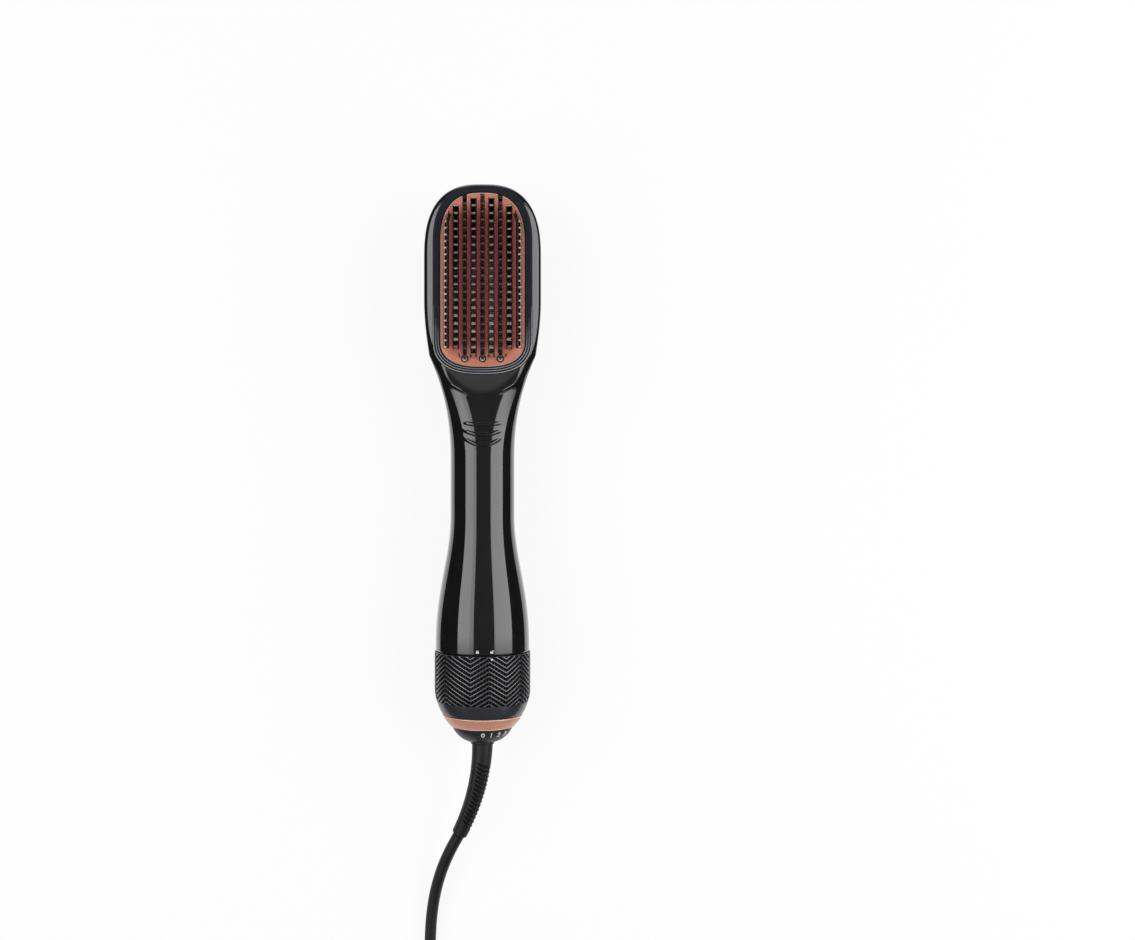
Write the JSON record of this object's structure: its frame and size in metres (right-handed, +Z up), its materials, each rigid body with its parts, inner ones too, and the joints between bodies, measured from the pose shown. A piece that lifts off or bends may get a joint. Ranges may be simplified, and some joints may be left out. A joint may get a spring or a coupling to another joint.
{
  "type": "paddle-brush hair styler",
  "caption": "Paddle-brush hair styler that blows hot air: ball-tipped pins on a vented plate, twist dial, pull-off air filter, fan, motor and heater inside, with a coiled cord and plug.",
  "frame": {"origin": "on the table, under the middle of the brush measured without its cord and strain relief", "axes": "+Z up, the bristles' way; +Y along the handle towards the tip of the head; +X to the right seen from above"},
  "size_m": [0.1083, 0.6176, 0.0623],
  "materials": {
    "gloss_black": "piano gloss",
    "satin_black": "satin",
    "bezel_black": "fine matte, slightly blue",
    "copper_plate": "satin anodised, copper coloured",
    "copper_trim": "satin, copper coloured",
    "steel": "plain",
    "grey_plastic": "moulded",
    "brass": "plain",
    "dark_iron": "plain",
    "carbon": "pressed carbon",
    "board": "lacquered board",
    "mica": "pressed mica",
    "fuse": "plain",
    "soft_black": "soft matte",
    "brown_wire": "sleeved lead",
    "blue_wire": "sleeved lead"
  },
  "bodies": {
    "housing": {"front_shell": "gloss_black", "back_shell": "gloss_black", "pin_comb": "satin_black", "bristle_lattice": "satin_black", "head_bezel": "bezel_black", "heat_plate": "copper_plate", "heat_shield": "steel", "detent_spring": "steel", "clamp_screw_left": "steel", "clamp_screw_right": "steel", "motor_can": "steel", "heating_coil": "steel", "tail_frame": "grey_plastic", "cord_clamp": "grey_plastic", "fan_duct": "grey_plastic", "end_bell": "grey_plastic", "rear_bush": "brass", "front_bush": "brass", "thermostat": "brass", "plug_pin_left": "brass", "plug_pin_right": "brass", "magnet_left": "dark_iron", "magnet_right": "dark_iron", "brush_left": "carbon", "brush_right": "carbon", "switch_board": "board", "rectifier_board": "board", "heater_tube": "mica", "mica_frame": "mica", "thermal_fuse": "fuse", "strain_relief": "soft_black", "cord_lead": "soft_black", "cord_coil": "soft_black", "cord_tail": "soft_black", "plug_body": "soft_black", "inner_cable": "soft_black", "live_lead": "brown_wire", "neutral_lead": "blue_wire"},
    "fan_rotor": {"impeller": "grey_plastic", "motor_shaft": "steel", "motor_armature": "dark_iron", "commutator": "brass"},
    "selector": {"selector_dial": "satin_black", "wiper_ring": "brass"},
    "filter_core": {"filter_basket": "satin_black"},
    "filter_grip": {"filter_sleeve": "satin_black", "trim_ring": "copper_trim"}
  },
  "joints": [
    {"name": "fan_spin", "type": "hinge", "parent": "housing", "child": "fan_rotor", "pos_m": [0, -0.09, 0.0282], "axis": [0, 1, 0], "continuous": true},
    {"name": "dial_turn", "type": "hinge", "parent": "housing", "child": "selector", "pos_m": [0, -0.158, 0.0282], "axis": [0, 1, 0], "range_deg": [0, 90]},
    {"name": "filter_pull", "type": "slide", "parent": "housing", "child": "filter_core", "axis": [0, -1, 0], "range_m": [0, 0.045]},
    {"name": "filter_twist", "type": "hinge", "parent": "filter_core", "child": "filter_grip", "pos_m": [0, -0.128, 0.0282], "axis": [0, -1, 0], "range_deg": [0, 17]}
  ]
}
